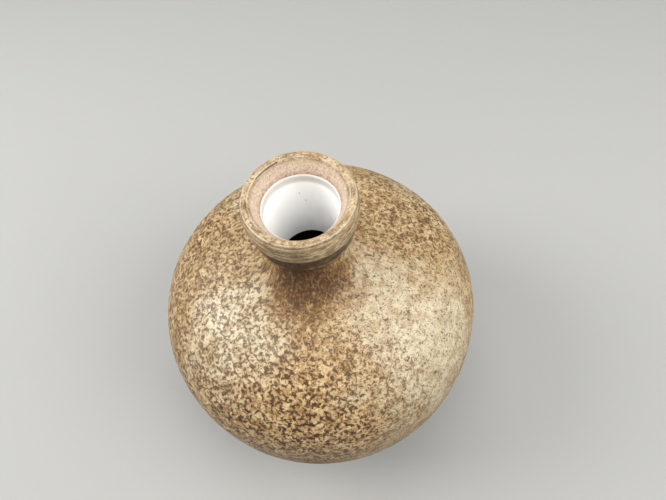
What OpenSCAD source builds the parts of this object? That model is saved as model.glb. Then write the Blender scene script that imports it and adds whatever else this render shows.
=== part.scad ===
// Stoneware bottle vase, wheel thrown: a low round body with a closed-in shoulder,
// a short flaring neck luted onto it, a ring and a heavy rolled rim at the mouth,
// a turned foot, and three coats of glaze.
// Heights stack up from the table. Every section is turned about +Z.

/* [Foot] */
// Diameter of the body where the glaze stops, just above the foot
foot_d = 76; // [60:1:96]
// Height of the foot ring under the glazed body
foot_h = 7.4; // [5:0.2:14]
// Width of the foot ring between its outer and inner face
foot_wall = 7; // [4:0.5:12]
// Rounding where the foot ring meets the table
foot_round = 1.2; // [0.4:0.1:2]

/* [Body] */
// Greatest diameter of the body, over the glaze
belly_d = 160; // [128:1:200]
// Height of the widest line above the foot ring
belly_rise = 52.6; // [42:0.2:66]
// Fullness of the body below the widest line: 2 is an ellipse, more is squarer
under_power = 2.2; // [2:0.02:2.8]
// Height of the closed-in shoulder's crown above the widest line
crown_rise = 59.5; // [48:0.5:74]
// Fullness of the shoulder: 2 is an ellipse, more is squarer
crown_power = 2.62; // [2:0.02:3]
// Thickness of the thrown clay wall
wall = 6; // [4:0.5:9]
// Thickness of the clay floor
floor_t = 8; // [5:0.5:12]
// Diameter of the opening left in the shoulder, under the neck
crown_hole_d = 36; // [30:1:44]

/* [Neck] */
// Bore of the neck at its throat, over the liner glaze
throat_d = 24.8; // [20:0.2:32]
// Thickness of the neck at the throat, glazes included
neck_wall = 5.1; // [4.2:0.1:7]
// Height of the narrowest part of the neck above the crown of the shoulder
neck_rise = 14.5; // [10:0.5:24]
// How far out from the neck its flare reaches over the shoulder
flare_reach = 18.5; // [12:0.5:24]
// Straight stretch of neck between the flare and the ring
neck_straight = 6.2; // [4:0.2:12]

/* [Ring and rim] */
// How far the neck ring stands out from the neck
ring_proud = 3.7; // [2.4:0.1:5]
// Height of the neck ring
ring_h = 8; // [6:0.2:12]
// Depth of the groove between the ring and the rim
groove_depth = 0.7; // [0.4:0.1:1.2]
// How far the rolled rim stands out beyond the ring
rim_proud = 1.9; // [1:0.1:4]
// Height of the rolled rim above the groove
rim_h = 15.2; // [12:0.2:20]
// Width of the lip, from its widest line in to the edge of the mouth
lip_w = 7.4; // [6:0.1:9]
// Height of the lip's crest above the edge of the mouth
lip_drop = 7.2; // [5:0.1:9]
// Width of the narrow ledge at the edge of the mouth
ledge_w = 0.5; // [0.3:0.1:1]
// Height of the plain step just inside the mouth
step_h = 4.2; // [3:0.1:7]

/* [Glaze] */
// Thickness of every glaze coat
glaze_t = 0.8; // [0.5:0.1:1.2]

/* [Hidden] */
$fn = 128;

// Pieces in each stretch of the section
belly_n = 22;
bend_n = 10;
bead_n = 7;
// A point of the section closer than this to a cut is dropped for the cut's own
seam_gap = 0.005;

// Heights of the stretches, from the table up
belly_z = foot_h + belly_rise;
crown_z = belly_z + crown_rise;
neck_z = crown_z + neck_rise;
ring_z = neck_z + neck_straight;
groove_z = ring_z + ring_h;
crest_z = groove_z + rim_h;
mouth_z = crest_z - lip_drop;
step_z = mouth_z - step_h;

// Radii over the glaze
foot_r = foot_d / 2;
belly_r = belly_d / 2;
throat_r = throat_d / 2;
neck_r = throat_r + neck_wall;
flare_r = neck_r + flare_reach;
ring_r = neck_r + ring_proud;
groove_r = ring_r - groove_depth;
rim_r = ring_r + rim_proud;
mouth_r = rim_r - lip_w;
crest_r = rim_r - 0.36 * lip_w;

// How far the lower body would drop below its widest line if it ran in to the axis
under_drop = belly_rise / sin(rim_angle(foot_r, under_power)) ^ (2 / under_power);

// Colours: fired clay, the bare turned foot, and the three glazes
clay = "#8f7a66";
foot_clay = "#7d6a58";
glaze_buff = "#c3a37c";
glaze_white = "#f1efe8";
glaze_blush = "#dcbfa6";

// --- Curves -------------------------------------------------------------------

// Point on one quarter of a superellipse with half axes a (out) and b (up)
function quarter(a, b, power, t) = [a * cos(t) ^ (2 / power), b * sin(t) ^ (2 / power)];

// Angle at which the body's superellipse has come in to radius r
function rim_angle(r, power) = acos((r / belly_r) ^ (power / 2));

// Cubic curve from a to d, leaving towards b and arriving from c
function bend(a, b, c, d, n) =
    [for (i = [0 : n]) let (t = i / n, s = 1 - t)
        s ^ 3 * a + 3 * s * s * t * b + 3 * s * t * t * c + t ^ 3 * d];

// All the points of a path but its first, for joining one stretch onto the last
function tail(path) = [for (i = [1 : len(path) - 1]) path[i]];

function reversed(path) = [for (i = [len(path) - 1 : -1 : 0]) path[i]];

function slice(path, first, last) = [for (i = [first : last]) path[i]];

// Direction of travel along a path at point i
function heading(path, i) =
    let (d = path[min(i + 1, len(path) - 1)] - path[max(i - 1, 0)])
    d / norm(d);

// The same path moved by t to its left, which is into the clay
function inset(path, t) =
    [for (i = [0 : len(path) - 1]) let (h = heading(path, i)) path[i] + t * [-h[1], h[0]]];

// Radius of a path at height z, for a path that only rises or only falls
function radius_at(path, z) = lookup(z, [for (p = path) [p[1], p[0]]]);

// The part of a rising path between two heights, with a point at each of them
function band(path, low, high) =
    concat([[radius_at(path, low), low]],
           [for (p = path) if (p[1] > low + seam_gap && p[1] < high - seam_gap) p],
           [[radius_at(path, high), high]]);

// --- Section of the vase, over the glaze ---------------------------------------

// Lower body, from the foot out to the widest line
under = [for (i = [0 : belly_n])
    let (q = quarter(belly_r, under_drop, under_power,
                     rim_angle(foot_r, under_power) * (1 - i / belly_n)))
    [q[0], belly_z - q[1]]];

// Shoulder, from the widest line in to the flare of the neck
shoulder = [for (i = [0 : belly_n])
    let (q = quarter(belly_r, crown_rise, crown_power, rim_angle(flare_r, crown_power) * i / belly_n))
    [q[0], belly_z + q[1]]];
shoulder_end = shoulder[belly_n];

// Neck: leaves the shoulder along its slope and turns upright
neck = bend(shoulder_end,
            shoulder_end + 0.75 * flare_reach * heading(shoulder, belly_n),
            [neck_r, neck_z - 0.55 * neck_rise], [neck_r, neck_z], bend_n);

// Ring: a soft bead round the neck, running up into the groove
ring = concat(
    bend([neck_r, ring_z], [neck_r + 0.6 * ring_proud, ring_z + 0.06 * ring_h],
         [ring_r, ring_z + 0.25 * ring_h], [ring_r, ring_z + 0.58 * ring_h], bead_n),
    tail(bend([ring_r, ring_z + 0.58 * ring_h], [ring_r, ring_z + 0.75 * ring_h],
              [groove_r, groove_z - 0.1 * ring_h], [groove_r, groove_z], bead_n)));

// Rolled rim: out of the groove, round its widest line and up to the crest
rim = concat(
    bend([groove_r, groove_z], [groove_r, groove_z + 0.08 * rim_h],
         [rim_r, groove_z + 0.2 * rim_h], [rim_r, groove_z + 0.46 * rim_h], bead_n),
    tail(bend([rim_r, groove_z + 0.46 * rim_h], [rim_r, groove_z + 0.8 * rim_h],
              [crest_r + 0.3 * lip_w, crest_z], [crest_r, crest_z], bend_n)));

// Lip: over the crest and down the inner bevel to the edge of the mouth
lip = bend([crest_r, crest_z], [crest_r - 0.16 * lip_w, crest_z],
           [mouth_r + 0.14 * lip_w, mouth_z + 0.3 * lip_drop], [mouth_r, mouth_z], bead_n);

// Bore: a narrow ledge, the plain step, then a funnel down to the throat
bore = concat(
    [[mouth_r, mouth_z], [mouth_r - ledge_w, mouth_z - ledge_w]],
    bend([mouth_r - 1.2 * ledge_w, step_z], [throat_r + 0.5 * (mouth_r - throat_r), step_z - 0.7 * step_h],
         [throat_r, neck_z], [throat_r, crown_z], bend_n));

skin = concat(under, tail(shoulder), tail(neck), ring, tail(rim), tail(lip), tail(bore));

// Where the stretches and the coats change, as places along the skin
toe_i = 0;
ring_i = len(under) + len(shoulder) + len(neck) - 2;
groove_i = ring_i + len(ring) - 1;
crest_i = groove_i + len(rim) - 1;
mouth_i = crest_i + len(lip) - 1;
throat_i = len(skin) - 1;

// --- Clay under the glaze ------------------------------------------------------

clay_skin = inset(skin, glaze_t);

// Outer and inner faces of the clay, both rising
clay_outer = slice(clay_skin, toe_i, groove_i);
clay_bore = reversed(slice(clay_skin, mouth_i, throat_i));

// Where the clay pieces seat on each other
base_z = clay_skin[toe_i][1];
floor_z = base_z + floor_t;
tube_r = clay_skin[ring_i][0];
seat_z = clay_skin[groove_i][1];

// Inner face of the thrown body, as if the shoulder closed right up to the hole
crown_hole_r = crown_hole_d / 2;
closed_shoulder = [for (i = [0 : belly_n])
    let (q = quarter(belly_r, crown_rise, crown_power, rim_angle(crown_hole_r, crown_power) * i / belly_n))
    [q[0], belly_z + q[1]]];
cavity_full = inset(concat(under, tail(closed_shoulder)), glaze_t + wall);
cavity = [for (p = cavity_full) if (p[1] > floor_z + seam_gap && p[0] > crown_hole_r + seam_gap) p];
cavity_floor = [radius_at(slice(cavity_full, 0, belly_n), floor_z), floor_z];
hole_edge = [crown_hole_r, cavity[len(cavity) - 1][1]];

module turned(section) {
    rotate_extrude() polygon(section);
}

// A coat of glaze between two places along the skin
module coat(first, last) {
    turned(concat(slice(skin, first, last), reversed(slice(clay_skin, first, last))));
}

// --- Sub-parts -----------------------------------------------------------------

// Turned foot: a ring under the body with rounded edges at the table
module foot_ring() {
    outer_r = clay_skin[toe_i][0];
    inner_r = outer_r - foot_wall;
    color(foot_clay)
        turned([[inner_r, base_z], [inner_r, foot_round], [inner_r + foot_round, 0],
                [outer_r - foot_round, 0], [outer_r, foot_round], [outer_r, base_z]]);
}

// Thrown body: floor, belly and closed-in shoulder with the hole under the neck
module clay_body() {
    color(clay)
        turned(concat([[0, base_z]], band(clay_outer, base_z, crown_z),
                      [[crown_hole_r, crown_z], hole_edge], reversed(cavity),
                      [cavity_floor, [0, floor_z]]));
}

// Neck: a collar of clay luted onto the shoulder, thrown up into a plain tube
module clay_neck() {
    color(clay)
        turned(concat(band(clay_outer, crown_z, clay_skin[ring_i][1]), [[tube_r, seat_z]],
                      reversed(band(clay_bore, crown_z, seat_z))));
}

// Ring of clay round the top of the neck, under the groove
module neck_ring() {
    color(clay) turned(concat([[tube_r, seat_z]], slice(clay_skin, ring_i, groove_i)));
}

// Rolled rim, seated on the neck and the ring
module rolled_rim() {
    color(clay)
        turned(concat(slice(clay_skin, groove_i, mouth_i),
                      reversed(band(clay_bore, seat_z, clay_skin[mouth_i][1]))));
}

// Mottled coat over the whole outside, from the foot to the crest of the rim
module outer_glaze() {
    color(glaze_buff) coat(toe_i, crest_i);
}

// Thin blush coat on the inner bevel of the lip
module lip_glaze() {
    color(glaze_blush) coat(crest_i, mouth_i);
}

// White coat down the inside of the mouth and neck, to the end of the throat
module liner_glaze() {
    color(glaze_white) coat(mouth_i, throat_i);
}

foot_ring();
clay_body();
clay_neck();
neck_ring();
rolled_rim();
outer_glaze();
lip_glaze();
liner_glaze();
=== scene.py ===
"""A hand-thrown stoneware bottle vase: mottled coat outside, blush lip, white liner, bare foot.

Lengths are metres, written in millimetres times MM. Every piece is thrown the same way: the edge
of its section is drawn point by point, spun once round +Z and closed.
"""

from math import acos, atan2, cos, exp, pi, radians, sin, tau

import bpy
from mathutils import Euler, Matrix, Vector


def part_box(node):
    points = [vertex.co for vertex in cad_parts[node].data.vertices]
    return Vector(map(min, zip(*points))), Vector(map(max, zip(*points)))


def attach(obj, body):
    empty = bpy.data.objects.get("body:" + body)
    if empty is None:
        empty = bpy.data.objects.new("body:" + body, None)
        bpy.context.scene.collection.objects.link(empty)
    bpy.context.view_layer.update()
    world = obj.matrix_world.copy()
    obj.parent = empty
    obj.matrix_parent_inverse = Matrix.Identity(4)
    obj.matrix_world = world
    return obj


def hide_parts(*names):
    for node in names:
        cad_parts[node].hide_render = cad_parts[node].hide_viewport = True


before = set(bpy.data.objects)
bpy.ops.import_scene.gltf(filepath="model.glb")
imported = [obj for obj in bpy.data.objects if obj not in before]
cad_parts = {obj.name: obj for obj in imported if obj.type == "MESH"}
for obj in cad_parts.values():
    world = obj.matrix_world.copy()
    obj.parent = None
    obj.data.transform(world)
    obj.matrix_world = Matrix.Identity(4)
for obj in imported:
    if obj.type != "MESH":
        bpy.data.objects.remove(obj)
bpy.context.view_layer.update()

bpy.ops.object.select_all(action="DESELECT")
scene = bpy.context.scene

# --- Sizes --------------------------------------------------------------------------------------

MM = 0.001
COAT = 0.8 * MM

# Heights and widths that the frame gives
coat_low, coat_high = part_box("outer_glaze")
belly_r = coat_high.x
toe_z = coat_low.z
crest_z = coat_high.z
crown_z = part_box("clay_neck")[0].z
mouth_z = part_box("liner_glaze")[1].z
foot_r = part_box("foot_ring")[1].x
base_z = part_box("clay_body")[0].z

# Heights between them
widest_z = toe_z + 52.6 * MM
groove_z = crest_z - 15.2 * MM
ring_z = groove_z - 8 * MM
neck_z = ring_z - 6.2 * MM
step_z = mouth_z - 4.2 * MM
floor_z = base_z + 8 * MM

# Radii over the glaze
TOE_R = 38 * MM
FLARE_R = 36 * MM
NECK_R = 17.5 * MM
RING_R = 21.2 * MM
GROOVE_R = 20.5 * MM
RIM_R = 23.1 * MM
LIP_W = 7.4 * MM
LEDGE_W = 0.5 * MM
THROAT_R = 12.4 * MM
crest_r = RIM_R - 0.36 * LIP_W
mouth_r = RIM_R - LIP_W

# Clay under the glaze
WALL = 6 * MM
FOOT_WALL = 7 * MM
HOLE_R = 18 * MM

# Fullness of the belly, below and above its widest line
UNDER_POWER = 2.2
CROWN_POWER = 2.62

TURNS = 256  # points round a piece that shows in the rim or the belly


# --- Lines of the section -----------------------------------------------------------------------

def at(r, z):
    """A point of the section, at radius r and height z."""
    return Vector((r, 0, z))


def quarter(a, b, power, t):
    """Point at angle t on a quarter superellipse with half axes a (out) and b (up)."""
    return at(a * cos(t) ** (2 / power), b * max(sin(t), 0) ** (2 / power))


def reach(r, power):
    """Angle at which the belly has come in to radius r."""
    return acos((r / belly_r) ** (power / 2))


def bend(a, b, c, d, pieces=24):
    """Cubic curve from a to d, leaving towards b and arriving from c."""
    ts = [i / pieces for i in range(pieces + 1)]
    return [(1 - t) ** 3 * a + 3 * (1 - t) ** 2 * t * b + 3 * (1 - t) * t * t * c + t ** 3 * d
            for t in ts]


def even(path, step):
    """The same line with its points about one step apart."""
    lengths = [0.0]
    for a, b in zip(path, path[1:]):
        lengths.append(lengths[-1] + (b - a).length)
    count = max(2, round(lengths[-1] / step))
    found, i = [], 0
    for k in range(count + 1):
        s = lengths[-1] * k / count
        while i < len(path) - 2 and lengths[i + 1] < s:
            i += 1
        share = (s - lengths[i]) / (lengths[i + 1] - lengths[i])
        found.append(path[i].lerp(path[i + 1], min(share, 1)))
    return found


def inward(path, i):
    """Direction into the clay at point i: left of the way the line runs."""
    d = (path[min(i + 1, len(path) - 1)] - path[max(i - 1, 0)]).normalized()
    return Vector((-d.z, 0, d.x))


def inset(path, depth):
    """The line moved into the clay. depth is one number or a function of (point, length so far)."""
    moved, s = [], 0.0
    for i, p in enumerate(path):
        s += (p - path[i - 1]).length if i else 0
        moved.append(p + inward(path, i) * (depth(p, s) if callable(depth) else depth))
    return moved


def scored(lines):
    """A depth function: grooves round the wheel axis at (height, depth, half width), in mm."""
    return lambda p, s: MM * sum(d * exp(-(((p.z / MM) - h) / w) ** 2) for h, d, w in lines)


# Pitches of the finger rings up the outside, in millimetres: close ones, wide ones, and how the
# close ones crowd and part
FINGER_CLOSE, FINGER_WIDE, FINGER_DRIFT = 5.3, 11.7, 23


def thrown(p, s):
    """The soft, uneven rings that fingers leave up a thrown wall."""
    mm = s / MM
    close = 0.06 * sin(tau * mm / FINGER_CLOSE + 1.7 * sin(tau * mm / FINGER_DRIFT))
    return MM * (0.12 + close + 0.05 * sin(tau * mm / FINGER_WIDE))


under_drop = (widest_z - toe_z) / sin(reach(TOE_R, UNDER_POWER)) ** (2 / UNDER_POWER)
crown_rise = crown_z - widest_z


def belly(low_r, high_r, pieces=160):
    """The belly's line, from radius low_r below its widest line to high_r above it."""
    low, high = reach(low_r, UNDER_POWER), reach(high_r, CROWN_POWER)
    down = [quarter(belly_r, under_drop, UNDER_POWER, low * (1 - i / pieces)) for i in range(pieces)]
    up = [quarter(belly_r, crown_rise, CROWN_POWER, high * i / pieces) for i in range(pieces + 1)]
    return [at(p.x, widest_z - p.z) for p in down] + [at(p.x, widest_z + p.z) for p in up]


# Each bend leaves its first point towards the second and comes to its last from the third. The
# offsets there say how full it is
body_line = belly(TOE_R, FLARE_R)
slope = (body_line[-1] - body_line[-2]).normalized()
neck_line = bend(body_line[-1], body_line[-1] + slope * 13.9 * MM,
                 at(NECK_R, neck_z - 8 * MM), at(NECK_R, neck_z)) + [at(NECK_R, ring_z)]
ring_line = bend(at(NECK_R, ring_z), at(NECK_R + 2.2 * MM, ring_z + 0.5 * MM),
                 at(RING_R, ring_z + 2 * MM), at(RING_R, ring_z + 4.6 * MM))
ring_line += bend(ring_line[-1], at(RING_R, ring_z + 6 * MM),
                  at(GROOVE_R, groove_z - 0.8 * MM), at(GROOVE_R, groove_z))[1:]
rim_line = bend(at(GROOVE_R, groove_z), at(GROOVE_R, groove_z + 1.2 * MM),
                at(RIM_R, groove_z + 3 * MM), at(RIM_R, groove_z + 7 * MM))
rim_line += bend(rim_line[-1], at(RIM_R, groove_z + 12.2 * MM),
                 at(crest_r + 0.3 * LIP_W, crest_z), at(crest_r, crest_z))[1:]
lip_line = bend(at(crest_r, crest_z), at(crest_r - 0.16 * LIP_W, crest_z),
                at(mouth_r + 0.14 * LIP_W, mouth_z + 2.2 * MM), at(mouth_r, mouth_z))
bore_line = [at(mouth_r, mouth_z), at(mouth_r - LEDGE_W, mouth_z - LEDGE_W)]
bore_line += bend(at(mouth_r - 1.2 * LEDGE_W, step_z), at((mouth_r + THROAT_R) / 2, step_z - 3 * MM),
                  at(THROAT_R, neck_z), at(THROAT_R, crown_z))


# --- Throwing a piece ---------------------------------------------------------------------------

def throw(name, section, closed=True, turns=TURNS):
    """Draws the section's edge by extruding one point along it, then spins it round the axis."""
    bpy.ops.mesh.primitive_plane_add(size=MM, location=(0, 0, 0))
    piece = bpy.context.object
    piece.name = name
    bpy.ops.object.mode_set(mode="EDIT")
    bpy.ops.mesh.merge(type="CENTER")
    bpy.ops.transform.translate(value=section[0])
    for a, b in zip(section, section[1:]):
        bpy.ops.mesh.extrude_region_move(TRANSFORM_OT_translate={"value": b - a})
    if closed:
        bpy.ops.mesh.extrude_region_move(TRANSFORM_OT_translate={"value": section[0] - section[-1]})
    bpy.ops.mesh.select_all(action="SELECT")
    bpy.ops.mesh.remove_doubles(threshold=0.001 * MM)
    bpy.ops.mesh.select_all(action="SELECT")
    bpy.ops.mesh.spin(steps=turns, angle=tau, center=(0, 0, 0), axis=(0, 0, 1))
    bpy.ops.mesh.select_all(action="SELECT")
    bpy.ops.mesh.remove_doubles(threshold=0.002 * MM)
    bpy.ops.mesh.normals_make_consistent(inside=False)
    bpy.ops.object.mode_set(mode="OBJECT")
    bpy.ops.object.shade_smooth_by_angle(angle=radians(38))
    piece.select_set(False)
    return piece


def coat(name, outer, inner_step=2.5 * MM):
    """A coat of glaze: its face as drawn, and its back on the clay."""
    return throw(name, outer + inset(even(outer, inner_step), COAT)[::-1])


def finish_piece(piece, material, slot, *nodes):
    """Glazes or fires a piece, and lets it stand for its nodes."""
    piece.data.materials.clear()
    piece.data.materials.append(material)
    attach(piece, "root")
    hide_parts(*nodes)


# --- Camera, floor and light --------------------------------------------------------------------

CAMERA_BACK = 1.41   # belly radii in front of the axis
CAMERA_UP = 3.17     # belly radii above the widest line
LOOK_DOWN = radians(59.9)
LOOK_RIGHT = radians(5.2)
TILT = radians(-7.6)
FOCAL_MM = 27.03
FLOOR_WIDE = 3       # metres

camera = bpy.data.objects.new("camera", bpy.data.cameras.new("camera"))
scene.collection.objects.link(camera)
camera.data.sensor_width = 36
camera.data.lens = FOCAL_MM
camera.data.clip_start = 0.01
look = Euler((pi / 2 - LOOK_DOWN, 0, -LOOK_RIGHT)).to_matrix() @ Matrix.Rotation(TILT, 3, "Z")
camera.matrix_world = Matrix.Translation(
    (0, -CAMERA_BACK * belly_r, widest_z + CAMERA_UP * belly_r)) @ look.to_4x4()
scene.camera = camera


def srgb(text):
    """A hex colour as linear RGBA."""
    parts = [int(text[i:i + 2], 16) / 255 for i in (1, 3, 5)]
    return [p / 12.92 if p <= 0.04045 else ((p + 0.055) / 1.055) ** 2.4 for p in parts] + [1]


def add(tree, kind, inputs=(), output=None, **settings):
    """Adds a node with its settings and hands back one of its outputs, the first if not said.

    inputs gives a value or another node's output to each socket, by name, or in order in a list.
    """
    made = tree.nodes.new("ShaderNode" + kind)
    for name, value in settings.items():
        setattr(made, name, value)
    live = [socket for socket in made.inputs if socket.enabled]
    named = {socket.name: socket for socket in reversed(live)}
    given = inputs.items() if isinstance(inputs, dict) else enumerate(inputs)
    for key, value in given:
        socket = named[key] if isinstance(key, str) else live[key]
        if isinstance(value, bpy.types.NodeSocket):
            tree.links.new(value, socket)
        else:
            socket.default_value = value
    shown = [socket for socket in made.outputs if socket.enabled]
    return made.outputs[output] if output else shown[0]


def soft_light(name, azimuth, height, distance, size, power, colour):
    """A square softbox looking at the belly, at an azimuth and a height above the horizon."""
    data = bpy.data.lights.new(name, "AREA")
    data.size = size
    data.energy = power
    data.color = srgb(colour)[:3]
    light = bpy.data.objects.new(name, data)
    scene.collection.objects.link(light)
    a, e = radians(azimuth), radians(height)
    place = Vector((cos(a) * cos(e), sin(a) * cos(e), sin(e))) * distance
    light.location = place + Vector((0, 0, widest_z))
    light.rotation_euler = place.to_track_quat("Z", "Y").to_euler()


# Azimuth and height in degrees, distance and width in metres, power in watts
soft_light("left_softbox", 163, 40, 0.9, 0.5, 7.0, "#fffdfa")
soft_light("right_softbox", -28, 42, 0.9, 0.6, 6.4, "#fffdfa")
soft_light("front_fill", -90, 62, 1.2, 1.2, 2.8, "#fffdfa")
soft_light("back_softbox", 75, 76, 1.0, 0.7, 4.6, "#ffffff")

world = bpy.data.worlds.new("studio")
world.use_nodes = True
scene.world = world
world.node_tree.nodes["Background"].inputs["Color"].default_value = srgb("#e8eaec")
world.node_tree.nodes["Background"].inputs["Strength"].default_value = 0.4
scene.view_settings.view_transform = "Standard"

bpy.ops.mesh.primitive_plane_add(size=FLOOR_WIDE, location=(0, 0, 0))
floor = bpy.context.object
floor.name = "studio_floor"
floor.select_set(False)
paper = bpy.data.materials.new("matte_studio_paper")
paper.use_nodes = True
paper.node_tree.nodes["Principled BSDF"].inputs["Base Color"].default_value = srgb("#a2a2a0")
paper.node_tree.nodes["Principled BSDF"].inputs["Roughness"].default_value = 0.9
floor.data.materials.append(paper)


# --- Materials ----------------------------------------------------------------------------------

# Sizes of the patterns, in millimetres
CELL = 3.4           # a cell of pale glaze
FLECK = 1.6          # a fleck of iron breaking through
PEPPER = 0.8         # a small speck of iron, where the flecks are few
DOT = 1.3            # a lone dot of iron
CLUSTER = 5          # a group of flecks
DRIFT = 24           # a stretch where the glaze ran thin or pooled
SHAKE = 2.4          # a kink in a fleck's edge
GRAIN = 0.55         # the finest speckle
STREAK = 0.9         # a run down the neck
LINE = 0.6           # a line left by the wheel
POOL = 9             # a stretch of a groove where iron pooled
PATCH = 7             # a stretch along the painted crest highlight, and a wave in the painted shade over the ring
BLUSH_EDGE = 1.4286  # a wave in the edge of the pink
FRECKLE = 0.7692     # a freckle in the pink
CURDLE = 8.33        # a milky patch of the liner
TOAST = 12.5         # a toasted patch of bare clay
GROG = 0.7143        # a grain of grog

# How far an edge is carried to and fro, in millimetres
ZONE_SWAY = 60       # the edge of a zone
BURN_SHADE_FRAY = 14       # the edge of a burn and of painted shade
KINK = 1.8           # the edge of a fleck

# How the pattern is scaled across and up the axis, to draw it out in one direction
NECK_DRAW = (1.4, 1.4, 0.38)
NECK_SHIFT = (0, 0, 76)
RIM_DRAW = (0.45, 0.45, 1.7)
RUN_DRAW = (1, 1, 0.16)
WHEEL_DRAW = (0.05, 0.05, 1)

# Colours. A pair is one ground where its pattern is low and where it is high
TAN = ("#9c7e54", "#b99e72")
CREAM = ("#b3a07f", "#cabda0")
OCHRE = ("#ab7f4e", "#dcb985")
# Burnt brown of the neck, darkened with painted shade of the rim: orange-brown in the halo, near black in
# the core
TOASTED_AND_SHADED, CHARRED_AND_SHADED = "#8c6437", "#432d18"
BRIGHT, HALO, HEART = "#d8cbae", "#7e5a34", "#302214"
LONE_DOT = "#4a3928"
# A painted highlight for the crest, and painted shade for under the rim and the ring
CREST_HIGHLIGHT, RIM_SHADE_COLOUR = "#d9ceb6", "#352110"
PINK = ("#d3c0ab", "#b59a86")
MOUTH_BROWN = ("#b59a87", "#7d5c4a")
# Painted shade for the scratch and the pit on the lip
SCRATCH_SHADE = "#3a2c20"
WHITE = ("#fbfbfa", "#f4f4f3")
# Painted grey shade for the liner's step
STEP_SHADE_GREY = "#d4d0ca"
LINER_SPECK = "#8f8d86"
CLAY = ("#8a7560", "#735845")
DARK_GROG, LIGHT_GROG = "#3f3027", "#b39c82"

# Heights from the frame in millimetres, which the shaders work in
crest_mm, mouth_mm, groove_mm = crest_z / MM, mouth_z / MM, groove_z / MM
ring_mm, crown_mm, widest_mm = ring_z / MM, crown_z / MM, widest_z / MM

# Grooves of the wheel: height, depth and half width in millimetres
RIM_SCORES = [(crest_mm - 1.7, 0.25, 0.3), (crest_mm - 3.8, 0.12, 0.4), (crest_mm - 6.2, 0.18, 0.35),
              (crest_mm - 8.7, 0.12, 0.45), (crest_mm - 11.3, 0.16, 0.4)]
RING_SCORES = [(groove_mm - 2.3, 0.12, 0.4), (groove_mm - 4.9, 0.12, 0.3)]


def around(azimuth, r, z):
    """A place in millimetres, at an azimuth in degrees, r from the axis and z up."""
    return (r * cos(radians(azimuth)), r * sin(radians(azimuth)), z)


def on_crown(azimuth, r):
    """A place on the upper belly in millimetres, at an azimuth in degrees, r from the axis."""
    out = r * MM / belly_r
    z = widest_z + crown_rise * (1 - out ** CROWN_POWER) ** (1 / CROWN_POWER)
    return around(azimuth, r, z / MM)


# The scratch along the lip's bevel and the pit at its end: degrees and millimetres
SCRATCH_R = 19.2
SCRATCH_FROM, SCRATCH_TO = 107, 141
SCRATCH_MIDDLE = around((SCRATCH_FROM + SCRATCH_TO) / 2, SCRATCH_R, crest_mm - 0.8)
PIT = around(SCRATCH_FROM, SCRATCH_R, crest_mm - 0.9)

# Zones of the glaze: where it is thick and pale, almost clear of flecks, rusty, and boldly flecked;
# where the painted shade under the rim is fullest, at the front; and where it is burnt brown and
# darkened with painted shade of the rim, at the front of the neck and at the belly's widest line in
# front. Each spot has its centre, the distance from there to which it is full and the distance at
# which it has gone, in millimetres. When the first is below nothing, the whole spot stays faint.
PALE = [(on_crown(-147, 54), 10, 38), (on_crown(28, 62), -20, 34), (on_crown(-40, 40), 6, 30),
        (on_crown(-48, 66), 14, 50), (on_crown(95, 58), 12, 40)]
CLEAR = [(on_crown(-38, 38), 8, 28), (on_crown(-34, 66), 6, 50), (on_crown(80, 62), 8, 34)]
RUSTY = [(on_crown(-102, 71), 5, 47), (on_crown(-130, 74), 2, 38), (on_crown(-152, 79), 5, 22),
         (on_crown(20, 62), 0, 22), (on_crown(140, 68), 4, 28)]
BOLD = [(on_crown(-150, 58), 30, 58), (on_crown(-104, 74), 22, 52), (on_crown(20, 64), 20, 46),
        (on_crown(140, 66), 20, 50)]
# Where the painted shade under the rim is fullest, at the front
RIM_SHADE_FULLEST = [(around(-100.3, 22.36, groove_mm - 3.2), 12, 30)]
BURNT_AND_SHADED = [(around(-109.29, 21.19, ring_mm - 10.2), 7, 25), (around(-70.56, 18.03, ring_mm - 16.2), 0, 20),
         (around(-101.45, 80.6, widest_mm - 2), -18, 30)]

# Iron specks in the liner, in the same way
LINER_SPECKS = [(around(87.14, 14.02, mouth_mm - 10), 0.1, 0.42),
                (around(77.61, 13.51, mouth_mm - 14.7), 0.05, 0.45)]


def new_material(name):
    """An empty material, with its shader and its place on the object in millimetres."""
    made = bpy.data.materials.new(name)
    made.use_nodes = True
    tree = made.node_tree
    place = add(tree, "TexCoord", output="Object")
    mm = add(tree, "VectorMath", {"Vector": place, "Scale": 1000}, operation="SCALE")
    return made, tree, tree.nodes["Principled BSDF"], mm


def spots(tree, mm, places):
    """Soft spots on the pot: 1 inside each place, 0 beyond it."""
    total = 0.0
    for centre, near, far in places:
        gap = add(tree, "VectorMath", [mm, centre], operation="DISTANCE")
        spot = add(tree, "MapRange", {"Value": gap, "From Min": far, "From Max": near},
                   interpolation_type="SMOOTHSTEP")
        total = add(tree, "Math", [spot, total], operation="MAXIMUM")
    return total


def wandering(tree, mm):
    """The place carried to and fro, three ways: for the edges of zones, of flecks, and of burns and
    painted shade.
    """
    sway = add(tree, "TexNoise", {"Vector": mm, "Scale": 1 / DRIFT, "Detail": 2}, output="Color")
    zone = add(tree, "VectorMath", [sway, [ZONE_SWAY] * 3, mm], operation="MULTIPLY_ADD")
    zone = add(tree, "VectorMath", [zone, [ZONE_SWAY / 2] * 3], operation="SUBTRACT")
    shake = add(tree, "TexNoise", {"Vector": mm, "Scale": 1 / SHAKE, "Detail": 1}, output="Color")
    bent = add(tree, "VectorMath", [shake, [KINK] * 3, mm], operation="MULTIPLY_ADD")
    frayed = add(tree, "VectorMath", [shake, [BURN_SHADE_FRAY] * 3, mm], operation="MULTIPLY_ADD")
    frayed = add(tree, "VectorMath", [frayed, [BURN_SHADE_FRAY / 2] * 3], operation="SUBTRACT")
    return zone, bent, frayed


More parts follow.
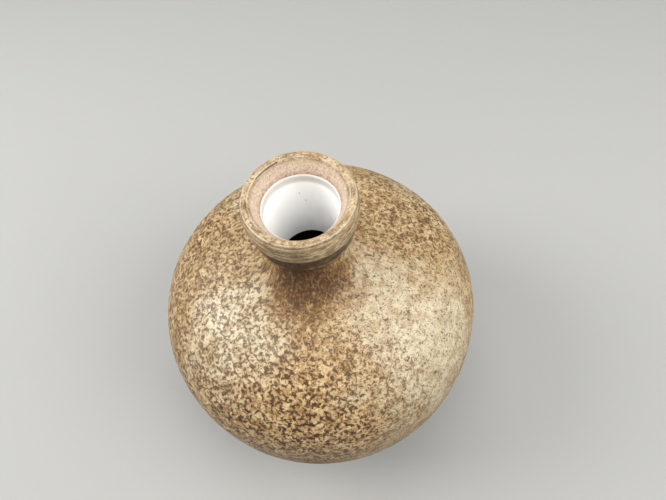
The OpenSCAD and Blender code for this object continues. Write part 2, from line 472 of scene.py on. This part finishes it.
def ground_colour(tree, cloud, pale, rusty, on_rim):
    """The glaze between its flecks: tan, cream where it is thick, ochre where it is rusty."""
    cloudy = add(tree, "MapRange", {"Value": cloud, "From Min": 0.38, "From Max": 0.62},
                 interpolation_type="SMOOTHSTEP")
    tan, cream, ochre = [
        add(tree, "Mix", {"Factor": cloudy, "A": srgb(low), "B": srgb(high)}, data_type="RGBA")
        for low, high in (TAN, CREAM, OCHRE)]
    creamy = add(tree, "Math", [on_rim, 0.5], operation="MULTIPLY")
    creamy = add(tree, "Math", [creamy, pale], operation="MAXIMUM")
    ground = add(tree, "Mix", {"Factor": creamy, "A": tan, "B": cream}, data_type="RGBA")
    tinge = add(tree, "Math", [on_rim, 0.2], operation="MULTIPLY")
    tinge = add(tree, "Math", [tinge, rusty], operation="MAXIMUM")
    tinge = add(tree, "Math", [tinge, 0.6], operation="MULTIPLY")
    return add(tree, "Mix", {"Factor": tinge, "A": ground, "B": ochre}, data_type="RGBA")


def burn_and_shade(tree, bent, burnt_and_shaded, ground):
    """The ground burnt brown in runs down from the ring and darkened with painted shade of the rim, and
    how far it is toasted and shaded.
    """
    down = add(tree, "VectorMath", [bent, RUN_DRAW], operation="MULTIPLY")
    runs = add(tree, "TexNoise", {"Vector": down, "Scale": 1 / STREAK, "Detail": 2})
    runs = add(tree, "MapRange", {"Value": runs, "From Min": 0.32, "From Max": 0.68,
                                  "To Min": 0.45, "To Max": 1.25})
    burnt_and_shaded = add(tree, "Math", [burnt_and_shaded, runs], operation="MULTIPLY")
    toasted_and_shaded = add(tree, "MapRange", {"Value": burnt_and_shaded, "From Max": 0.6, "To Max": 0.85},
                  interpolation_type="SMOOTHSTEP")
    charred_and_shaded = add(tree, "MapRange", {"Value": burnt_and_shaded, "From Min": 0.3, "From Max": 1, "To Max": 0.9},
                  interpolation_type="SMOOTHSTEP")
    for share, brown in ((toasted_and_shaded, TOASTED_AND_SHADED), (charred_and_shaded, CHARRED_AND_SHADED)):
        ground = add(tree, "Mix", {"Factor": share, "A": ground, "B": srgb(brown)}, data_type="RGBA")
    return ground, toasted_and_shaded


def drawn_out(tree, bent, height, on_rim):
    """The place the flecks grow at: drawn down the neck, and out round the rim to its crest."""
    over_crest = add(tree, "MapRange", {"Value": height, "From Min": crest_mm - 1.4,
                                        "From Max": crest_mm - 3.4})
    upright = add(tree, "Math", [on_rim, over_crest], operation="MULTIPLY")
    on_neck = add(tree, "MapRange", {"Value": height, "From Min": crown_mm - 0.5,
                                     "From Max": crown_mm + 8.5})
    down = add(tree, "VectorMath", [bent, NECK_DRAW, NECK_SHIFT], operation="MULTIPLY_ADD")
    out = add(tree, "VectorMath", [bent, RIM_DRAW], operation="MULTIPLY")
    grown = add(tree, "Mix", {"Factor": on_neck, "A": bent, "B": down}, data_type="VECTOR")
    return add(tree, "Mix", {"Factor": upright, "A": grown, "B": out}, data_type="VECTOR")


def iron_level(tree, grown, cloud, clear, bold):
    """How near the iron is to the surface: in seams between cells of pale glaze and in clusters.

    Small specks take over from the seams where the glaze is clear.
    """
    cell = add(tree, "TexVoronoi", {"Vector": grown, "Scale": 1 / CELL}, feature="DISTANCE_TO_EDGE")
    seam = add(tree, "MapRange", {"Value": cell, "From Max": 0.3, "To Min": 1, "To Max": 0},
               interpolation_type="SMOOTHSTEP")
    fleck = add(tree, "TexNoise", {"Vector": grown, "Scale": 1 / FLECK, "Detail": 2, "Roughness": 0.55})
    coarse = add(tree, "Math", [seam, 0.085, 0.095], operation="MULTIPLY_ADD")
    coarse = add(tree, "Math", [fleck, 0.7, coarse], operation="MULTIPLY_ADD")
    pepper = add(tree, "TexNoise", {"Vector": grown, "Scale": 1 / PEPPER, "Detail": 2, "Roughness": 0.6})
    fine = add(tree, "Math", [pepper, 0.75, 0.115], operation="MULTIPLY_ADD")
    share = add(tree, "Math", [bold, 0.25, 0.68], operation="MULTIPLY_ADD")
    share = add(tree, "Math", [clear, -0.2, share], operation="MULTIPLY_ADD")
    level = add(tree, "Mix", {"Factor": share, "A": fine, "B": coarse}, data_type="FLOAT")
    crowd = add(tree, "MapRange", {"Value": cloud, "From Min": 0.3, "From Max": 0.7,
                                   "To Min": 0.014, "To Max": -0.014})
    return add(tree, "Math", [level, crowd], operation="ADD")


def wheel_lines(tree, mm, bent, height, on_rim, level):
    """The level with lines of the wheel on the rim and ring, and faintly on the lower belly."""
    round_about = add(tree, "VectorMath", [bent, WHEEL_DRAW], operation="MULTIPLY")
    lines = add(tree, "TexNoise", {"Vector": round_about, "Scale": 1 / LINE, "Detail": 2,
                                   "Roughness": 0.6})
    low_down = add(tree, "MapRange", {"Value": height, "From Min": crown_mm - 11.5,
                                      "From Max": widest_mm + 28, "To Max": 0.16})
    lined = add(tree, "Math", [on_rim, 0.35], operation="MULTIPLY")
    lined = add(tree, "Math", [lined, low_down], operation="MAXIMUM")
    level = add(tree, "Mix", {"Factor": lined, "A": level, "B": lines}, data_type="FLOAT")
    # Iron pools in the grooves, here more and there less
    fade = add(tree, "TexNoise", {"Vector": mm, "Scale": 1 / POOL, "Detail": 1})
    fade = add(tree, "MapRange", {"Value": fade, "From Min": 0.4, "From Max": 0.6, "To Max": 0.13})
    for middle, _, half in RIM_SCORES + RING_SCORES:
        pool = add(tree, "Math", [height, middle, half], operation="COMPARE")
        level = add(tree, "Math", [pool, fade, level], operation="MULTIPLY_ADD")
    return level


def iron_colour(tree, ground, level, force, on_rim, grown):
    """The ground with its flecks: a bright edge, a brown halo and a dark heart, and lone dots."""
    browner = add(tree, "Math", [on_rim, -0.4, 1], operation="MULTIPLY_ADD")
    browner = add(tree, "Math", [browner, force], operation="MULTIPLY")
    # Levels at which each starts and is full, how strong it is then, and its colour
    for start, full, most, weight, shade in ((0.46, 0.36, 0.5, force, BRIGHT),
                                             (0.436, 0.565, 0.85, force, HALO),
                                             (0.485, 0.585, 1, browner, HEART)):
        share = add(tree, "MapRange", {"Value": level, "From Min": start, "From Max": full,
                                       "To Max": most}, interpolation_type="SMOOTHSTEP")
        share = add(tree, "Math", [share, weight], operation="MULTIPLY")
        ground = add(tree, "Mix", {"Factor": share, "A": ground, "B": srgb(shade)}, data_type="RGBA")
    dot = add(tree, "TexNoise", {"Vector": grown, "Scale": 1 / DOT, "Detail": 1})
    dot = add(tree, "MapRange", {"Value": dot, "From Min": 0.6, "From Max": 0.7, "To Max": 0.75},
              interpolation_type="SMOOTHSTEP")
    return add(tree, "Mix", {"Factor": dot, "A": ground, "B": srgb(LONE_DOT)}, data_type="RGBA")


def paint_rim_shade(tree, frayed, height, patchy):
    """Painted shade under the rim and under the ring, nearly black, fullest at the front."""
    under_rim = add(tree, "MapRange", {"Value": height, "From Min": groove_mm + 3,
                                       "From Max": groove_mm + 1})
    uneven = add(tree, "Math", [patchy, 5, height], operation="MULTIPLY_ADD")
    over_ring = add(tree, "MapRange", {"Value": uneven, "From Min": groove_mm - 3,
                                       "From Max": groove_mm - 0.6})
    under_rim = add(tree, "Math", [under_rim, over_ring], operation="MULTIPLY")
    under_rim = add(tree, "Math", [under_rim, 0.85], operation="MULTIPLY")
    ring_foot = add(tree, "MapRange", {"Value": height, "From Min": ring_mm + 3.3,
                                       "From Max": ring_mm + 0.3, "To Max": 0.7})
    below_ring = add(tree, "MapRange", {"Value": height, "From Min": ring_mm - 7.2,
                                        "From Max": ring_mm - 2.2})
    ring_foot = add(tree, "Math", [ring_foot, below_ring], operation="MULTIPLY")
    rim_shade = add(tree, "Math", [under_rim, ring_foot], operation="MAXIMUM")
    rim_shade_share = add(tree, "MapRange", {"Value": spots(tree, frayed, RIM_SHADE_FULLEST), "To Min": 0.4, "To Max": 1})
    return add(tree, "Math", [rim_shade, rim_shade_share], operation="MULTIPLY")


def paint_crest_highlight(tree, height, patchy):
    """A painted highlight in a line along the crest, stronger in some stretches than in others."""
    crest = add(tree, "Math", [height, crest_mm - 0.65, 0.22], operation="COMPARE")
    highlight_share = add(tree, "MapRange", {"Value": patchy, "From Min": 0.38, "From Max": 0.6, "To Max": 0.7})
    return add(tree, "Math", [crest, highlight_share], operation="MULTIPLY")


def mottling(tree, mm):
    """The mottled glaze: its colour, with a painted crest highlight and painted shade in it, how near its
    iron is, its height and how far it is toasted and shaded.
    """
    height = add(tree, "SeparateXYZ", [mm], output="Z")
    on_rim = add(tree, "MapRange", {"Value": height, "From Min": ring_mm - 1.2,
                                    "From Max": ring_mm + 1.8})
    zone, bent, frayed = wandering(tree, mm)
    pale, clear, rusty, bold = [spots(tree, zone, places) for places in (PALE, CLEAR, RUSTY, BOLD)]
    cloud = add(tree, "TexNoise", {"Vector": bent, "Scale": 1 / CLUSTER, "Detail": 3, "Roughness": 0.6})
    ground = ground_colour(tree, cloud, pale, rusty, on_rim)
    # Burnt brown runs, darkened with painted shade over the front of the neck and the belly's front
    ground, toasted_and_shaded = burn_and_shade(tree, bent, spots(tree, frayed, BURNT_AND_SHADED), ground)

    grown = drawn_out(tree, bent, height, on_rim)
    level = iron_level(tree, grown, cloud, clear, bold)
    for part, weight in ((rusty, 0.01), (clear, -0.045), (on_rim, -0.012)):
        level = add(tree, "Math", [part, weight, level], operation="MULTIPLY_ADD")
    level = wheel_lines(tree, mm, bent, height, on_rim, level)
    force = 0.58
    for part, weight in ((bold, 0.06), (rusty, 0.34), (clear, -0.1), (toasted_and_shaded, -0.34), (pale, -0.1)):
        force = add(tree, "Math", [part, weight, force], operation="MULTIPLY_ADD")
    colour = iron_colour(tree, ground, level, force, on_rim, grown)

    patchy = add(tree, "TexNoise", {"Vector": mm, "Scale": 1 / PATCH, "Detail": 2})
    # A painted highlight along the crest, and painted shade under the rim and the ring
    crest_highlight = paint_crest_highlight(tree, height, patchy)
    rim_shade = paint_rim_shade(tree, frayed, height, patchy)
    for share, shade in ((crest_highlight, CREST_HIGHLIGHT), (rim_shade, RIM_SHADE_COLOUR)):
        colour = add(tree, "Mix", {"Factor": share, "A": colour, "B": srgb(shade)}, data_type="RGBA")
    grain = add(tree, "TexNoise", {"Vector": mm, "Scale": 1 / GRAIN, "Detail": 1})
    grain = add(tree, "MapRange", {"Value": grain, "From Min": 0.3, "From Max": 0.7,
                                   "To Min": 0.78, "To Max": 1.05})
    colour = add(tree, "VectorMath", {"Vector": colour, "Scale": grain}, operation="SCALE")
    return colour, level, height, toasted_and_shaded


def mottled_glaze():
    """Iron-mottled stoneware glaze, dipped: satin, cream to rust, with soft dark flecks."""
    made, tree, shader, mm = new_material("mottled_stoneware_glaze")
    colour, level, _, toasted_and_shaded = mottling(tree, mm)
    tree.links.new(colour, shader.inputs["Base Color"])
    dull = add(tree, "MapRange", {"Value": level, "From Min": 0.4, "From Max": 0.65,
                                  "To Min": 0.46, "To Max": 0.6})
    dull = add(tree, "Math", [toasted_and_shaded, 0.2, dull], operation="MULTIPLY_ADD")
    tree.links.new(dull, shader.inputs["Roughness"])
    shader.inputs["IOR"].default_value = 1.5
    shader.inputs["Specular IOR Level"].default_value = 0.36
    pitted = add(tree, "Bump", {"Height": level, "Strength": 0.22, "Distance": 0.2 * MM}, invert=True)
    tree.links.new(pitted, shader.inputs["Normal"])
    return made


def blush_glaze():
    """The same glaze where it thins over the lip: mottled at the crest, flesh pink by the mouth."""
    made, tree, shader, mm = new_material("blush_stoneware_glaze")
    colour, level, height, _ = mottling(tree, mm)
    edge = add(tree, "TexNoise", {"Vector": mm, "Scale": 1 / BLUSH_EDGE, "Detail": 3}, output="Fac")
    edge = add(tree, "Math", [edge, 3, height], operation="MULTIPLY_ADD")
    pink = add(tree, "MapRange", {"Value": edge, "From Min": crest_mm + 0.8, "From Max": crest_mm - 1.6,
                                  "To Max": 0.85}, interpolation_type="SMOOTHSTEP")
    deep = add(tree, "MapRange", {"Value": edge, "From Min": mouth_mm + 3.8, "From Max": mouth_mm + 1.2,
                                  "To Max": 0.9}, interpolation_type="SMOOTHSTEP")
    speck = add(tree, "TexNoise", {"Vector": mm, "Scale": 1 / FRECKLE, "Detail": 3, "Roughness": 0.7})
    speck = add(tree, "MapRange", {"Value": speck, "From Min": 0.42, "From Max": 0.62},
                interpolation_type="SMOOTHSTEP")
    for share, (low, high) in ((pink, PINK), (deep, MOUTH_BROWN)):
        thin_glaze_and_step_shade = add(tree, "Mix", {"Factor": speck, "A": srgb(low), "B": srgb(high)}, data_type="RGBA")
        colour = add(tree, "Mix", {"Factor": share, "A": colour, "B": thin_glaze_and_step_shade}, data_type="RGBA")
    # Painted shade in the scratch and the pit
    out = add(tree, "VectorMath", [mm, (1, 1, 0)], operation="MULTIPLY")
    out = add(tree, "VectorMath", [out], operation="LENGTH")
    scratch = add(tree, "Math", [out, SCRATCH_R, 0.2], operation="COMPARE")
    along = spots(tree, mm, [(SCRATCH_MIDDLE, 4.6, 5.8)])
    scratch = add(tree, "Math", [scratch, along], operation="MULTIPLY")
    scratch = add(tree, "Math", [scratch, 0.7], operation="MULTIPLY")
    pit = spots(tree, mm, [(PIT, 0.3, 0.55)])
    scratch = add(tree, "Math", [scratch, pit], operation="MAXIMUM")
    colour = add(tree, "Mix", {"Factor": scratch, "A": colour, "B": srgb(SCRATCH_SHADE)}, data_type="RGBA")
    tree.links.new(colour, shader.inputs["Base Color"])
    shader.inputs["Roughness"].default_value = 0.4
    shader.inputs["IOR"].default_value = 1.5
    pitted = add(tree, "Bump", {"Height": level, "Strength": 0.2, "Distance": 0.2 * MM}, invert=True)
    tree.links.new(pitted, shader.inputs["Normal"])
    return made


def white_glaze():
    """Opaque white liner glaze, poured: glossy and bright, with painted grey shade over the step."""
    made, tree, shader, mm = new_material("white_liner_glaze")
    height = add(tree, "SeparateXYZ", [mm], output="Z")
    # Painted shade: the liner greys towards its top, over the step
    thin_glaze_and_step_shade = add(tree, "MapRange", {"Value": height, "From Min": mouth_mm - 5, "From Max": mouth_mm - 2.6},
               interpolation_type="SMOOTHSTEP")
    milky = add(tree, "TexNoise", {"Vector": mm, "Scale": 1 / CURDLE, "Detail": 2})
    colour = add(tree, "Mix", {"Factor": milky, "A": srgb(WHITE[0]), "B": srgb(WHITE[1])},
                 data_type="RGBA")
    iron = spots(tree, mm, LINER_SPECKS)
    for share, shade in ((iron, LINER_SPECK), (thin_glaze_and_step_shade, STEP_SHADE_GREY)):
        colour = add(tree, "Mix", {"Factor": share, "A": colour, "B": srgb(shade)}, data_type="RGBA")
    tree.links.new(colour, shader.inputs["Base Color"])
    shader.inputs["Roughness"].default_value = 0.2
    shader.inputs["IOR"].default_value = 1.5
    return made


def fired_clay():
    """Bare iron-bearing stoneware, turned and fired: dry, with grog specks and toasted patches."""
    made, tree, shader, mm = new_material("bare_fired_stoneware")
    toast = add(tree, "TexNoise", {"Vector": mm, "Scale": 1 / TOAST, "Detail": 4})
    toast = add(tree, "MapRange", {"Value": toast, "From Min": 0.35, "From Max": 0.65})
    colour = add(tree, "Mix", {"Factor": toast, "A": srgb(CLAY[0]), "B": srgb(CLAY[1])},
                 data_type="RGBA")
    grog = add(tree, "TexNoise", {"Vector": mm, "Scale": 1 / GROG, "Detail": 3, "Roughness": 0.7})
    dark = add(tree, "MapRange", {"Value": grog, "From Min": 0.58, "From Max": 0.68})
    light = add(tree, "MapRange", {"Value": grog, "From Min": 0.42, "From Max": 0.34})
    for share, shade in ((dark, DARK_GROG), (light, LIGHT_GROG)):
        colour = add(tree, "Mix", {"Factor": share, "A": colour, "B": srgb(shade)}, data_type="RGBA")
    tree.links.new(colour, shader.inputs["Base Color"])
    shader.inputs["Roughness"].default_value = 0.85
    gritty = add(tree, "Bump", {"Height": grog, "Strength": 0.5, "Distance": 0.3 * MM})
    tree.links.new(gritty, shader.inputs["Normal"])
    return made


# --- Pieces -------------------------------------------------------------------------------------

# Marks of the making: how deep, and how far apart or how wide
FINGER_DEPTH, FINGER_PITCH = 0.35 * MM, 9 * MM
TURNED_DEPTH, TURNED_PITCH = 0.12 * MM, 2.4 * MM
DRAG_DEPTH, DRAGS = 0.06 * MM, 4
FOOT_ROUND = 1.2 * MM
SCRATCH_DEPTH, SCRATCH_HALF = 0.3 * MM, 0.18 * MM
PIT_DEPTH, PIT_R = 0.35 * MM, 0.42 * MM


def press(piece, chosen, depth):
    """Presses the chosen points of a piece down, as a tool would into the soft glaze."""
    bpy.context.view_layer.objects.active = piece
    bpy.ops.object.mode_set(mode="EDIT")
    bpy.ops.mesh.select_all(action="DESELECT")
    bpy.ops.object.mode_set(mode="OBJECT")
    for vertex in piece.data.vertices:
        vertex.select = chosen(vertex.co)
    bpy.ops.object.mode_set(mode="EDIT")
    bpy.ops.transform.translate(value=(0, 0, -depth))
    bpy.ops.object.mode_set(mode="OBJECT")


def in_scratch(p):
    """Whether a point of the lip is in the scratch along its bevel."""
    along = radians(SCRATCH_FROM) < atan2(p.y, p.x) < radians(SCRATCH_TO)
    return along and abs(p.xy.length - SCRATCH_R * MM) < SCRATCH_HALF and p.z > crest_z - 2.2 * MM


def in_pit(p):
    """Whether a point of the lip is in the pit at the scratch's end."""
    return (p - MM * Vector(PIT)).length < PIT_R


glaze, blush, white, clay = mottled_glaze(), blush_glaze(), white_glaze(), fired_clay()

outer = inset(even(body_line, 1.5 * MM), thrown)
outer += even(neck_line, MM)[1:]
outer += inset(even(ring_line, 0.25 * MM), scored(RING_SCORES))[1:]
outer += inset(even(rim_line, 0.2 * MM), scored(RIM_SCORES))[1:]
finish_piece(coat("outer_glaze_coat", outer), glaze, "mottled_glaze", "outer_glaze")

# The lip, with a line scratched along its bevel that ends in a small pit
lip = coat("lip_glaze_coat", even(lip_line, 0.2 * MM), MM)
press(lip, in_scratch, SCRATCH_DEPTH)
press(lip, in_pit, PIT_DEPTH)
finish_piece(lip, blush, "blush_glaze", "lip_glaze")

finish_piece(coat("liner_glaze_coat", even(bore_line, 0.4 * MM), MM), white, "white_glaze", "liner_glaze")

# Thrown body: glazed outside, finger rings up the inside, turned rings on the base
clay_outer = inset(even(body_line, 2 * MM), COAT)
wall_line = even(belly(TOE_R, HOLE_R), 2 * MM)
inside = inset(wall_line, lambda p, s: COAT + WALL + FINGER_DEPTH * sin(tau * s / FINGER_PITCH))
inside = [p for p in inside if p.z > floor_z and p.x > HOLE_R]
shoulder = [p for p in clay_outer if p.z < crown_z] + [at(HOLE_R, crown_z)]
turned_r = foot_r - FOOT_WALL
turned = [at(r, base_z + TURNED_DEPTH * (1 - cos(tau * r / TURNED_PITCH)))
          for r in [turned_r * i / 60 for i in range(61)]]
dish = [at(inside[0].x * i / 8, floor_z) for i in range(8, -1, -1)]
body = throw("clay_body_thrown", turned + shoulder + inside[::-1] + dish, closed=False, turns=128)
finish_piece(body, clay, "clay", "clay_body")

# Turned foot: softened edges and the drag of the turning tool across its face
bow = [Vector((FOOT_ROUND * sin(a), 0, FOOT_ROUND * (1 - cos(a)))) for a in
       [pi / 2 * i / 6 for i in range(7)]]
edge = [at(foot_r - FOOT_ROUND + p.x, p.z) for p in bow]
back = [at(turned_r + FOOT_ROUND - p.x, p.z) for p in bow]
face = [at(back[0].x + (edge[0].x - back[0].x) * t, DRAG_DEPTH * (1 - cos(tau * DRAGS * t)))
        for t in [i / 24 for i in range(1, 24)]]
foot = [at(turned_r, base_z)] + back[::-1] + face + edge + [at(foot_r, base_z)]
finish_piece(throw("turned_foot", foot), clay, "bare_foot", "foot_ring")

# The clay under the neck's glaze stays as the frame gives it
for name in ("clay_neck", "neck_ring", "rolled_rim"):
    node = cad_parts[name]
    node.data.materials.clear()
    node.data.materials.append(clay)
